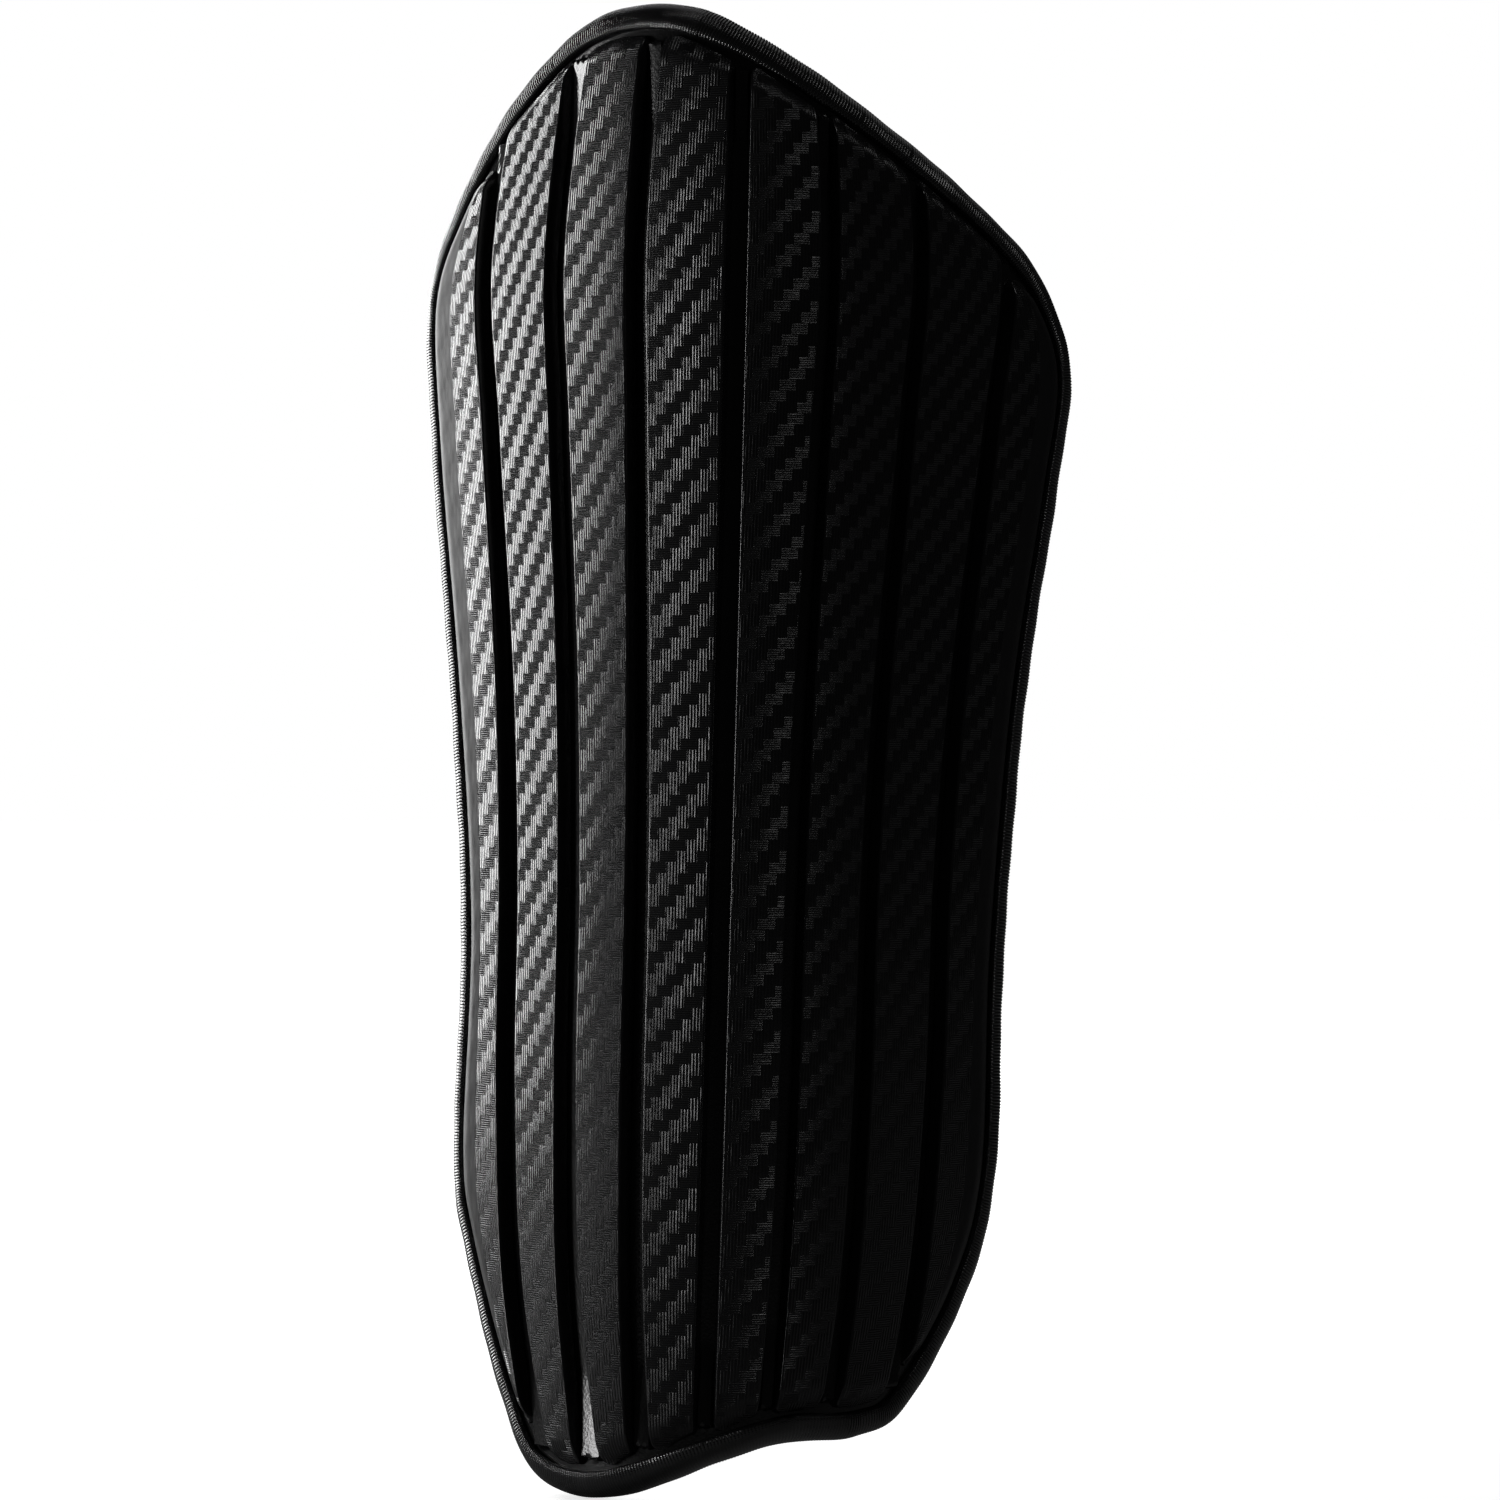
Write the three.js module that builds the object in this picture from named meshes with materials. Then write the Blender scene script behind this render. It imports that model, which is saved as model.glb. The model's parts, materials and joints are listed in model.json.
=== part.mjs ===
// A flexible shin guard for one leg, worn inside a sock. Eight hard slats stand side by side on a
// flexible web, so that the guard bends along the seven grooves between them and wraps the shin. Foam and
// a textile lining lie behind the web, and a sewn textile binding closes the edge.
//
// Millimetres. +Z runs up the shin, the outer face looks to -Y, and the origin is the point of the lining
// that lies on the shin's crest at half height. The grooves' flex axes are in the group's userData.
import * as THREE from "three";
import { ParametricGeometry } from "three/addons/geometries/ParametricGeometry.js";

// ---- Driving dimensions ----

// The cross-section is one branch of a hyperbola: its round crest lies on the shin bone, its flanks on
// the muscles.
const CREST_SOFTNESS = 38;
const FLANK_SLOPE = 1.6;
// The crest's offset to +X for each millimetre of height.
const CREST_LEAN = 0.0267;

// The layers, from the outside in.
const SLAT_THICKNESS = 2.2;
const WEB_THICKNESS = 0.8;
const FOAM_THICKNESS = 4;
const FOAM_EDGE_THICKNESS = 1.5;
const LINING_THICKNESS = 0.8;
const TAPE_THICKNESS = 0.9;
const THREAD_RADIUS = 0.3;
const LAYER_GAP = 0.3;
// The foam keeps its thickness up to this share of the way to the edge, and is skived down from there.
const SKIVE_START = 0.75;
// Room under the back of the tape, where the skived foam is already thicker than at the edge.
const TAPE_BACK_ROOM = 1;

// How far each edge lies in from the guard's outline, measured on the web's outer face.
const TAPE_CORE_INSET = 1.7;
const LAYER_INSET = 2.6;
const FRONT_TAPE_WIDTH = 4.2;
const BACK_TAPE_WIDTH = 6.5;
const THREAD_INSET = 5.3;
const SLAT_INSET = 5;

// The slats' side walls lean back by this much on each side from the web to the outer face.
const WALL_LEAN = 0.35;
// The outer slats end here, as a share of their length, where they are still about 2 mm wide.
const TIP_SHARE = 0.015;

// The grooves from -X to +X. The share is the groove's place between the crest, 0, and the outermost
// groove of its side, -1 or 1. The width is measured at the web.
const GROOVES = [
  { share: -1, width: 3.8 },
  { share: -0.685, width: 3.6 },
  { share: -0.36, width: 2.7 },
  { share: 0, width: 2.2 },
  { share: 0.335, width: 2 },
  { share: 0.665, width: 2.2 },
  { share: 1, width: 2.7 },
];

// [height, distance from the crest] of the outermost grooves, which bow with the outline.
const LEFT_REACH = [
  [-110, 23],
  [-80, 29.4],
  [-50, 31.7],
  [-20, 32.2],
  [10, 33.8],
  [50, 37.6],
  [75, 39.5],
  [110, 34.5],
];
const RIGHT_REACH = [
  [-110, 23],
  [-80, 28.2],
  [-50, 30],
  [-20, 30.3],
  [10, 31.9],
  [50, 35.8],
  [75, 37.6],
  [110, 31],
];

// [height, how far the crest stands forward]: the lower end flares away from the ankle.
const FORWARD_FLARE = [
  [-112, 4.5],
  [-50, 0.8],
  [0, 0],
  [50, 0],
  [112, 1.5],
];

// [x, z] of the outline, clockwise from the top. It slopes down to the outside of the calf, narrows to a
// waist and ends in a long tongue on one side of the ankle and a short round lobe on the other.
const OUTLINE = [
  [-9.9, 110.7],
  [2.8, 106.5],
  [20.8, 95.6],
  [38.1, 82.5],
  [47, 72.4],
  [51.2, 58.4],
  [48.9, 38.6],
  [44.3, 7.5],
  [41.1, -30.8],
  [39.8, -65.2],
  [35, -83.8],
  [26.3, -98.9],
  [19.5, -102.1],
  [9.4, -102],
  [-1.2, -104.8],
  [-18.9, -110.7],
  [-29.7, -109],
  [-35.6, -99.1],
  [-42.7, -77.6],
  [-45.2, -62.2],
  [-44.1, -27.3],
  [-46.3, 7.6],
  [-50.2, 47.1],
  [-50.9, 71.5],
  [-44.7, 86.8],
  [-34.4, 100.4],
  [-22.3, 109.4],
];

// How finely the faces are divided.
const OUTLINE_STEPS = 108;
const SLAT_COLUMNS = 4;
const SLAT_ROWS = 22;
const LAYER_COLUMNS = 18;
const LAYER_ROWS = 20;
const ROLL_STEPS = 3;
const THREAD_SIDES = 6;
const SEARCH_STEPS = 40;

// Each flex axis runs through the middle of the web under its groove at these two heights.
const FLEX_AXIS_HEIGHTS = [-75, 70];

const SLAT_PLASTIC = { color: 0x17181a, roughness: 0.32 };
const WEB_RUBBER = { color: 0x0b0b0c, roughness: 0.5 };
const EVA_FOAM = { color: 0x1c1d1f, roughness: 0.95 };
const LINING_KNIT = { color: 0x202225, roughness: 0.9 };
const BINDING_TAPE = { color: 0x111214, roughness: 0.6 };
const SEWING_THREAD = { color: 0x18191b, roughness: 0.7 };

// ---- The guard's curved surface ----

// A smooth curve through [place, value] knots, in rising order of place.
function curveThrough(knots) {
  const slopeAt = (i) => {
    const before = knots[Math.max(i - 1, 0)];
    const after = knots[Math.min(i + 1, knots.length - 1)];
    return (after[1] - before[1]) / (after[0] - before[0]);
  };
  return (place) => {
    let i = 0;
    while (i < knots.length - 2 && place > knots[i + 1][0]) i += 1;
    const span = knots[i + 1][0] - knots[i][0];
    const t = (place - knots[i][0]) / span;
    const rise = 3 * t ** 2 - 2 * t ** 3;
    const leaving = t ** 3 - 2 * t ** 2 + t;
    const arriving = t ** 3 - t ** 2;
    const bend = span * (leaving * slopeAt(i) + arriving * slopeAt(i + 1));
    return THREE.MathUtils.lerp(knots[i][1], knots[i + 1][1], rise) + bend;
  };
}

const leftReach = curveThrough(LEFT_REACH);
const rightReach = curveThrough(RIGHT_REACH);
const forwardFlare = curveThrough(FORWARD_FLARE);
const CREST_STACK = WEB_THICKNESS + FOAM_THICKNESS + LINING_THICKNESS + 2 * LAYER_GAP;

// The Y of the web's outer face.
function faceDepth(x, z) {
  const fromCrest = x - CREST_LEAN * z;
  const flankDepth = FLANK_SLOPE * (Math.hypot(fromCrest, CREST_SOFTNESS) - CREST_SOFTNESS);
  return flankDepth - CREST_STACK - forwardFlare(z);
}

// The direction straight out of the web's outer face.
function faceNormal(x, z) {
  const reach = 0.01;
  const slopeX = (faceDepth(x + reach, z) - faceDepth(x - reach, z)) / (2 * reach);
  const slopeZ = (faceDepth(x, z + reach) - faceDepth(x, z - reach)) / (2 * reach);
  return new THREE.Vector3(slopeX, -1, slopeZ).normalize();
}

// The point at a height above the web's outer face, or under it if the height is negative.
function surfacePoint(x, z, height) {
  return new THREE.Vector3(x, faceDepth(x, z), z).addScaledVector(faceNormal(x, z), height);
}

// The step in X that covers one millimetre across the surface.
function acrossSurface(x, z) {
  const normal = faceNormal(x, z);
  return Math.abs(normal.y) / Math.hypot(normal.x, normal.y);
}

// The X of a line that lies along the grooves, at a share of the way to the outermost one.
function grooveX(share, z) {
  return CREST_LEAN * z + share * (share < 0 ? leftReach(z) : rightReach(z));
}

// ---- The outline ----

const outlineCurve = new THREE.CatmullRomCurve3(
  OUTLINE.map(([x, z]) => new THREE.Vector3(x, faceDepth(x, z), z)),
  true,
  "catmullrom",
);

// A place at an inset from the outline, measured on the surface, as {x, z}.
function insetPlace(turn, inset) {
  const share = ((turn % 1) + 1) % 1;
  const edge = outlineCurve.getPointAt(share);
  const along = outlineCurve.getTangentAt(share);
  const inward = along.cross(faceNormal(edge.x, edge.z)).normalize();
  return { x: edge.x + inset * inward.x, z: edge.z + inset * inward.z };
}

function insetPolygon(inset) {
  return Array.from({ length: 3 * OUTLINE_STEPS }, (_, i) => insetPlace(i / (3 * OUTLINE_STEPS), inset));
}

function isInside(polygon, x, z) {
  let inside = false;
  polygon.forEach((a, i) => {
    const b = polygon[(i + 1) % polygon.length];
    const crosses = a.z > z !== b.z > z && x < a.x + ((z - a.z) * (b.x - a.x)) / (b.z - a.z);
    if (crosses) inside = !inside;
  });
  return inside;
}

// How far a path runs from a place inside the polygon until it leaves it. place(distance) gives {x, z}.
function exitDistance(polygon, place, furthest) {
  let near = 0;
  let far = furthest;
  for (let i = 0; i < SEARCH_STEPS; i += 1) {
    const middle = (near + far) / 2;
    const { x, z } = place(middle);
    if (isInside(polygon, x, z)) near = middle;
    else far = middle;
  }
  return near;
}

// ---- Solids made by bending a simple geometry onto the surface ----

// A box whose every vertex is put in its place by its three coordinates, which run from -1 to 1.
function bentBox(columns, rows, place) {
  const geometry = new THREE.BoxGeometry(2, 2, 2, columns, rows, 1);
  const position = geometry.getAttribute("position");
  for (let i = 0; i < position.count; i += 1) {
    const { x, y, z } = place(position.getX(i), position.getY(i), position.getZ(i));
    position.setXYZ(i, x, y, z);
  }
  geometry.computeVertexNormals();
  return geometry;
}

// A closed section, listed as [inset, height], swept once round the outline.
function sweptRim(section) {
  const corners = section.length;
  const place = (round, across, target) => {
    const [inset, height] = section[Math.round(across * corners) % corners];
    const { x, z } = insetPlace(round, inset);
    target.copy(surfacePoint(x, z, height));
  };
  return new ParametricGeometry(place, OUTLINE_STEPS, corners);
}

// ---- The slats ----

const slatOutline = insetPolygon(SLAT_INSET);
const BEYOND_OUTLINE = 112;

// The heights at which a line along the grooves meets the slats' outline.
function lineEnds(share) {
  const end = (way) => {
    const place = (distance) => ({ x: grooveX(share, way * distance), z: way * distance });
    return way * exitDistance(slatOutline, place, BEYOND_OUTLINE);
  };
  return { bottom: end(-1), top: end(1) };
}

// The edge of a groove on one side, -1 or 1, as a path from the bottom, 0, to the top, 1.
function grooveEdge(groove, side) {
  const { bottom, top } = lineEnds(groove.share);
  return (along) => {
    const z = THREE.MathUtils.lerp(bottom, top, along);
    const middle = grooveX(groove.share, z);
    return { x: middle + ((side * groove.width) / 2) * acrossSurface(middle, z), z };
  };
}

// The slats' outline on one side, -1 or 1, as a path between the two ends of that side's outermost groove.
function outerEdge(groove, side) {
  const { bottom, top } = lineEnds(groove.share);
  return (along) => {
    const z = THREE.MathUtils.lerp(bottom, top, along);
    const place = (distance) => ({ x: CREST_LEAN * z + side * distance, z });
    return place(exitDistance(slatOutline, place, BEYOND_OUTLINE));
  };
}

// A slat between two edge paths. Its rows crowd together at the ends, and its walls lean back. Where it
// would run out to a point, the tip is the share of its length that is cut off.
function slatGeometry(leftEdge, rightEdge, tip) {
  return bentBox(SLAT_COLUMNS, SLAT_ROWS, (across, up, outward) => {
    const rowShare = (1 + Math.sin((up * Math.PI) / 2)) / 2;
    const along = THREE.MathUtils.lerp(tip, 1 - tip, rowShare);
    const left = leftEdge(along);
    const right = rightEdge(along);
    const width = Math.hypot(right.x - left.x, right.z - left.z);
    const isOuterFace = outward > 0;
    const narrowing = isOuterFace ? 1 - (2 * WALL_LEAN) / width : 1;
    const share = (1 + across * narrowing) / 2;
    const x = THREE.MathUtils.lerp(left.x, right.x, share);
    const z = THREE.MathUtils.lerp(left.z, right.z, share);
    return surfacePoint(x, z, LAYER_GAP + (isOuterFace ? SLAT_THICKNESS : 0));
  });
}

function makeSlats() {
  const leftEdges = [outerEdge(GROOVES[0], -1), ...GROOVES.map((groove) => grooveEdge(groove, 1))];
  const rightEdges = [...GROOVES.map((groove) => grooveEdge(groove, -1)), outerEdge(GROOVES.at(-1), 1)];
  return leftEdges.map((leftEdge, i) => {
    const isOutermost = i === 0 || i === GROOVES.length;
    return slatGeometry(leftEdge, rightEdges[i], isOutermost ? TIP_SHARE : 0);
  });
}

// ---- The layers behind the slats ----

const layerOutline = insetPolygon(LAYER_INSET);
const LAYER_HALF_WIDTH = 50;
const LAYER_HALF_HEIGHT = 108;

// A layer between two heights, which depend on the share of the way out to the edge. The box's square
// cross-section is stretched along rays from its middle until it fills the outline.
function layerGeometry(outerHeight, innerHeight) {
  return bentBox(LAYER_COLUMNS, LAYER_ROWS, (across, up, outward) => {
    const ring = Math.max(Math.abs(across), Math.abs(up));
    const way = { x: across * LAYER_HALF_WIDTH, z: up * LAYER_HALF_HEIGHT };
    const length = Math.hypot(way.x, way.z) || 1;
    const ray = (distance) => ({ x: (way.x / length) * distance, z: (way.z / length) * distance });
    const { x, z } = ray(ring * exitDistance(layerOutline, ray, 2 * LAYER_HALF_HEIGHT));
    return surfacePoint(x, z, outward > 0 ? outerHeight(ring) : innerHeight(ring));
  });
}

function foamInnerHeight(ring) {
  const skive = THREE.MathUtils.smoothstep(ring, SKIVE_START, 1);
  const thickness = THREE.MathUtils.lerp(FOAM_THICKNESS, FOAM_EDGE_THICKNESS, skive);
  return -WEB_THICKNESS - LAYER_GAP - thickness;
}

function makeLayers() {
  const webInner = () => -WEB_THICKNESS;
  const foamOuter = () => -WEB_THICKNESS - LAYER_GAP;
  const liningOuter = (ring) => foamInnerHeight(ring) - LAYER_GAP;
  const liningInner = (ring) => liningOuter(ring) - LINING_THICKNESS;
  return {
    web: layerGeometry(() => 0, webInner),
    foam: layerGeometry(foamOuter, foamInnerHeight),
    lining: layerGeometry(liningOuter, liningInner),
  };
}

// ---- The binding and its thread ----

const FRONT_OF_TAPE = LAYER_GAP + TAPE_THICKNESS;
const EDGE_STACK = WEB_THICKNESS + FOAM_EDGE_THICKNESS + LINING_THICKNESS + 2 * LAYER_GAP;
const BACK_OF_TAPE = -EDGE_STACK - TAPE_BACK_ROOM - TAPE_THICKNESS;

// The tape's section: two flanges joined by a half-round roll, open towards the middle of the guard.
function tapeSection() {
  const radius = (FRONT_OF_TAPE - BACK_OF_TAPE) / 2;
  const middle = (FRONT_OF_TAPE + BACK_OF_TAPE) / 2;
  const roll = new THREE.Path().absarc(radius, middle, radius, Math.PI / 2, (3 * Math.PI) / 2, false);
  return [
    [FRONT_TAPE_WIDTH, LAYER_GAP],
    [FRONT_TAPE_WIDTH, FRONT_OF_TAPE],
    ...roll.getPoints(ROLL_STEPS).map(({ x, y }) => [x, y]),
    [BACK_TAPE_WIDTH, BACK_OF_TAPE],
    [BACK_TAPE_WIDTH, BACK_OF_TAPE + TAPE_THICKNESS],
    [TAPE_CORE_INSET, BACK_OF_TAPE + TAPE_THICKNESS],
    [TAPE_CORE_INSET, LAYER_GAP],
  ];
}

function threadSection() {
  const height = BACK_OF_TAPE - LAYER_GAP - THREAD_RADIUS;
  const circle = new THREE.Path().absarc(THREAD_INSET, height, THREAD_RADIUS, 0, 2 * Math.PI, false);
  return circle
    .getPoints(THREAD_SIDES / 2)
    .slice(0, -1)
    .map(({ x, y }) => [x, y]);
}

// ---- The flex axes ----

// Each groove bends about a straight axis through its floor, pointing up.
function flexAxes() {
  return GROOVES.map(({ share }) => {
    const [low, high] = FLEX_AXIS_HEIGHTS.map((z) => surfacePoint(grooveX(share, z), z, -WEB_THICKNESS / 2));
    return {
      point: low.clone().lerp(high, 0.5).toArray(),
      axis: high.clone().sub(low).normalize().toArray(),
    };
  });
}

// ---- The assembly ----

function meshOf(name, geometry, finish) {
  const mesh = new THREE.Mesh(geometry, new THREE.MeshStandardMaterial({ ...finish, metalness: 0 }));
  mesh.name = name;
  return mesh;
}

const guard = new THREE.Group();
const layers = makeLayers();
makeSlats().forEach((geometry, i) => guard.add(meshOf(`slat_${i + 1}`, geometry, SLAT_PLASTIC)));
guard.add(meshOf("flex_web", layers.web, WEB_RUBBER));
guard.add(meshOf("foam_backing", layers.foam, EVA_FOAM));
guard.add(meshOf("inner_lining", layers.lining, LINING_KNIT));
guard.add(meshOf("edge_binding", sweptRim(tapeSection()), BINDING_TAPE));
guard.add(meshOf("binding_thread", sweptRim(threadSection()), SEWING_THREAD));
guard.userData.flexAxes = flexAxes();

export default guard;
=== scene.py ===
"""The looks of a flexible shin guard: eight slats with an embossed weave on a rubber web, a foam backing with
a knitted lining, and a ribbed binding tape with its stitches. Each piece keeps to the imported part's frame."""
import json
import math

import bpy
import numpy as np
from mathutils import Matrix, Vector


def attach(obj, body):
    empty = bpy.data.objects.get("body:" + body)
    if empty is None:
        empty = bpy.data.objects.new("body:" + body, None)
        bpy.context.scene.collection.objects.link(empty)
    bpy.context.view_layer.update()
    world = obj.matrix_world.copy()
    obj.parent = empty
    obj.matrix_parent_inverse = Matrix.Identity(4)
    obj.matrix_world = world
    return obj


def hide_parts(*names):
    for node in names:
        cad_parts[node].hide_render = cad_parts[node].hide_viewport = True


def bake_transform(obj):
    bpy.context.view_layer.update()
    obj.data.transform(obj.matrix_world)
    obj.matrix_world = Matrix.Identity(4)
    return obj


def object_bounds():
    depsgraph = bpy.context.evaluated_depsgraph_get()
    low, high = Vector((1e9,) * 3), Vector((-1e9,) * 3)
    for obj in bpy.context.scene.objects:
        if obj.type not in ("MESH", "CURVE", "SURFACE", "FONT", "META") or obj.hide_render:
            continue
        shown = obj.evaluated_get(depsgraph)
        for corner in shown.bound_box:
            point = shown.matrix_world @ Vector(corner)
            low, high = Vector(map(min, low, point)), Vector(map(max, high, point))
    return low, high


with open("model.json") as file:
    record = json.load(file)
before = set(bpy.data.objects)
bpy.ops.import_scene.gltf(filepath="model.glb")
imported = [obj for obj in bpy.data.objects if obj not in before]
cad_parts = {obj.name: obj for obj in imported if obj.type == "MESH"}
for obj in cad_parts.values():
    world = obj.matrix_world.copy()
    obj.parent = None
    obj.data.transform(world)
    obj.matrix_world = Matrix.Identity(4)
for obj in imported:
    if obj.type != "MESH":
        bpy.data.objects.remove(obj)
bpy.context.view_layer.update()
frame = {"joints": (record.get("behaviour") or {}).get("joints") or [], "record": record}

# Shapes are worked out in millimetres, as in the part's own source, and become metres when a mesh is made.
MM = 0.001

# ---- The guard's surface, outline and grooves, as the CAD part has them ----

# The cross-section is one branch of a hyperbola, and the crest leans to +X as it rises. Both ends flare
# forward, by [z, distance].
CREST_SOFTNESS = 38
FLANK_SLOPE = 1.6
CREST_LEAN = 0.0267
FORWARD_FLARE = [(-112, 4.5), (-50, 0.8), (0, 0), (50, 0), (112, 1.5)]

# The layers. Heights are measured from the web's outer face, and are negative behind it.
SLAT_THICKNESS = 2.2
WEB_THICKNESS = 0.8
FOAM_THICKNESS = 4
FOAM_EDGE_THICKNESS = 1.5
LINING_THICKNESS = 0.8
TAPE_THICKNESS = 0.9
LAYER_GAP = 0.3
SKIVE_START = 0.75
FRONT_OF_TAPE = LAYER_GAP + TAPE_THICKNESS
BACK_OF_TAPE = -5.6
CREST_STACK = WEB_THICKNESS + FOAM_THICKNESS + LINING_THICKNESS + 2 * LAYER_GAP

# Insets from the outline.
LAYER_INSET = 2.6
SLAT_INSET = 5
FRONT_TAPE_WIDTH = 4.2
BACK_TAPE_WIDTH = 6.5
TAPE_CORE_INSET = 1.7
THREAD_INSET = 5.3

# Each groove's share of the way from the crest to its side's outermost groove, and its width at the web.
GROOVES = [(-1, 3.8), (-0.685, 3.6), (-0.36, 2.7), (0, 2.2), (0.335, 2), (0.665, 2.2), (1, 2.7)]

# [z, X distance] from the crest to the outermost groove on each side.
LEFT_REACH = [
    (-110, 23), (-80, 29.4), (-50, 31.7), (-20, 32.2), (10, 33.8), (50, 37.6), (75, 39.5), (110, 34.5),
]
RIGHT_REACH = [
    (-110, 23), (-80, 28.2), (-50, 30), (-20, 30.3), (10, 31.9), (50, 35.8), (75, 37.6), (110, 31),
]

# [x, z] of the outline, clockwise from the top.
OUTLINE = [
    (-9.9, 110.7), (2.8, 106.5), (20.8, 95.6), (38.1, 82.5), (47, 72.4), (51.2, 58.4), (48.9, 38.6),
    (44.3, 7.5), (41.1, -30.8), (39.8, -65.2), (35, -83.8), (26.3, -98.9), (19.5, -102.1), (9.4, -102),
    (-1.2, -104.8), (-18.9, -110.7), (-29.7, -109), (-35.6, -99.1), (-42.7, -77.6), (-45.2, -62.2),
    (-44.1, -27.3), (-46.3, 7.6), (-50.2, 47.1), (-50.9, 71.5), (-44.7, 86.8), (-34.4, 100.4), (-22.3, 109.4),
]
SAMPLES_PER_SPAN = 60
POLYGON_POINTS = 600
SEARCH_STEPS = 24
BEYOND_OUTLINE = 112

# The arc across the surface is added up over this reach from the crest, in steps this long.
ARC_REACH = 70
ARC_STEP = 0.1
SLOPE_REACH = 0.01


def curve_through(knots):
    """A smooth curve through (place, value) knots, for arrays of places."""
    places, values = np.array(knots, float).T
    slopes = np.gradient(values, places)
    slopes[1:-1] = (values[2:] - values[:-2]) / (places[2:] - places[:-2])

    def curve(place):
        i = np.clip(np.searchsorted(places, place) - 1, 0, len(places) - 2)
        span = places[i + 1] - places[i]
        t = (place - places[i]) / span
        rise = 3 * t**2 - 2 * t**3
        leaving = t**3 - 2 * t**2 + t
        arriving = t**3 - t**2
        bend = span * (leaving * slopes[i] + arriving * slopes[i + 1])
        return values[i] + (values[i + 1] - values[i]) * rise + bend

    return curve


left_reach = curve_through(LEFT_REACH)
right_reach = curve_through(RIGHT_REACH)
forward_flare = curve_through(FORWARD_FLARE)


def face_depth(x, z):
    """The Y of the web's outer face."""
    flank = FLANK_SLOPE * (np.hypot(x - CREST_LEAN * z, CREST_SOFTNESS) - CREST_SOFTNESS)
    return flank - CREST_STACK - forward_flare(z)


def face_normal(x, z):
    """The direction straight out of the web's outer face."""
    slope_x = (face_depth(x + SLOPE_REACH, z) - face_depth(x - SLOPE_REACH, z)) / (2 * SLOPE_REACH)
    slope_z = (face_depth(x, z + SLOPE_REACH) - face_depth(x, z - SLOPE_REACH)) / (2 * SLOPE_REACH)
    normal = np.stack([slope_x, -np.ones_like(slope_x), slope_z], axis=-1)
    return normal / np.linalg.norm(normal, axis=-1, keepdims=True)


def surface_point(x, z, height):
    """Points at a height above the web's outer face."""
    x, z, height = np.broadcast_arrays(*(np.asarray(value, float) for value in (x, z, height)))
    return np.stack([x, face_depth(x, z), z], axis=-1) + height[..., None] * face_normal(x, z)


def across_surface(x, z):
    """The step in X that covers one millimetre across the surface."""
    normal = face_normal(x, z)
    return np.abs(normal[..., 1]) / np.hypot(normal[..., 0], normal[..., 1])


def groove_x(share, z):
    """The X of the line at this share of the way to the outermost groove."""
    return CREST_LEAN * z + share * np.where(share < 0, left_reach(z), right_reach(z))


def arc_from_crest(x, z):
    """How far a place is from the crest, measured across the surface."""
    from_crest = x - CREST_LEAN * z
    places = np.linspace(-ARC_REACH, ARC_REACH, round(2 * ARC_REACH / ARC_STEP) + 1)
    slope = FLANK_SLOPE * places / np.hypot(places, CREST_SOFTNESS)
    lengths = np.concatenate([[0], np.cumsum(np.diff(places) * np.hypot(1, (slope[1:] + slope[:-1]) / 2))])
    return np.interp(from_crest, places, lengths - lengths[len(lengths) // 2])


# ---- The outline ----


def closed_curve(points):
    """Points and directions along the closed Catmull-Rom curve through the points."""
    before, after, beyond = np.roll(points, 1, 0), np.roll(points, -1, 0), np.roll(points, -2, 0)
    leaving, arriving = (after - before) / 2, (beyond - points) / 2
    t = (np.arange(SAMPLES_PER_SPAN) / SAMPLES_PER_SPAN)[None, :, None]
    p, q, a, b = (v[:, None, :] for v in (points, after, leaving, arriving))
    square, cube = 3 * (q - p) - 2 * a - b, 2 * (p - q) + a + b
    places = p + a * t + square * t**2 + cube * t**3
    ways = a + 2 * square * t + 3 * cube * t**2
    return places.reshape(-1, 3), ways.reshape(-1, 3)


outline_xz = np.array(OUTLINE, float)
outline_points, outline_ways = closed_curve(
    np.stack([outline_xz[:, 0], face_depth(outline_xz[:, 0], outline_xz[:, 1]), outline_xz[:, 1]], axis=-1)
)
outline_steps = np.linalg.norm(np.roll(outline_points, -1, 0) - outline_points, axis=-1)
outline_lengths = np.concatenate([[0], np.cumsum(outline_steps)])
OUTLINE_LENGTH = outline_lengths[-1]


def round_the_outline(values, distance):
    """Values given at the outline's samples, at distances round it."""
    closed = np.concatenate([values, values[:1]])
    wrapped = np.mod(distance, OUTLINE_LENGTH)
    return np.stack([np.interp(wrapped, outline_lengths, closed[:, k]) for k in range(3)], axis=-1)


def inset_place(distance, inset):
    """(x, z) at a distance round the outline and an inset from it, measured on the surface."""
    edge = round_the_outline(outline_points, distance)
    inward = np.cross(round_the_outline(outline_ways, distance), face_normal(edge[..., 0], edge[..., 2]))
    inward /= np.linalg.norm(inward, axis=-1, keepdims=True)
    return edge[..., 0] + inset * inward[..., 0], edge[..., 2] + inset * inward[..., 2]


def inset_polygon(inset):
    """The outline drawn in by an inset, as (x, z) corners."""
    distance = np.linspace(0, OUTLINE_LENGTH, POLYGON_POINTS, endpoint=False)
    return np.stack(inset_place(distance, inset), axis=-1)


def is_inside(polygon, x, z):
    """Whether each place lies inside the polygon: a ray to +X crosses its sides an odd number of times."""
    a, b = polygon, np.roll(polygon, -1, 0)
    x, z = x[..., None], z[..., None]
    straddles = (a[:, 1] > z) != (b[:, 1] > z)
    rise = np.where(b[:, 1] == a[:, 1], 1, b[:, 1] - a[:, 1])
    crosses = straddles & (x < a[:, 0] + (z - a[:, 1]) * (b[:, 0] - a[:, 0]) / rise)
    return crosses.sum(axis=-1) % 2 == 1


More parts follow.
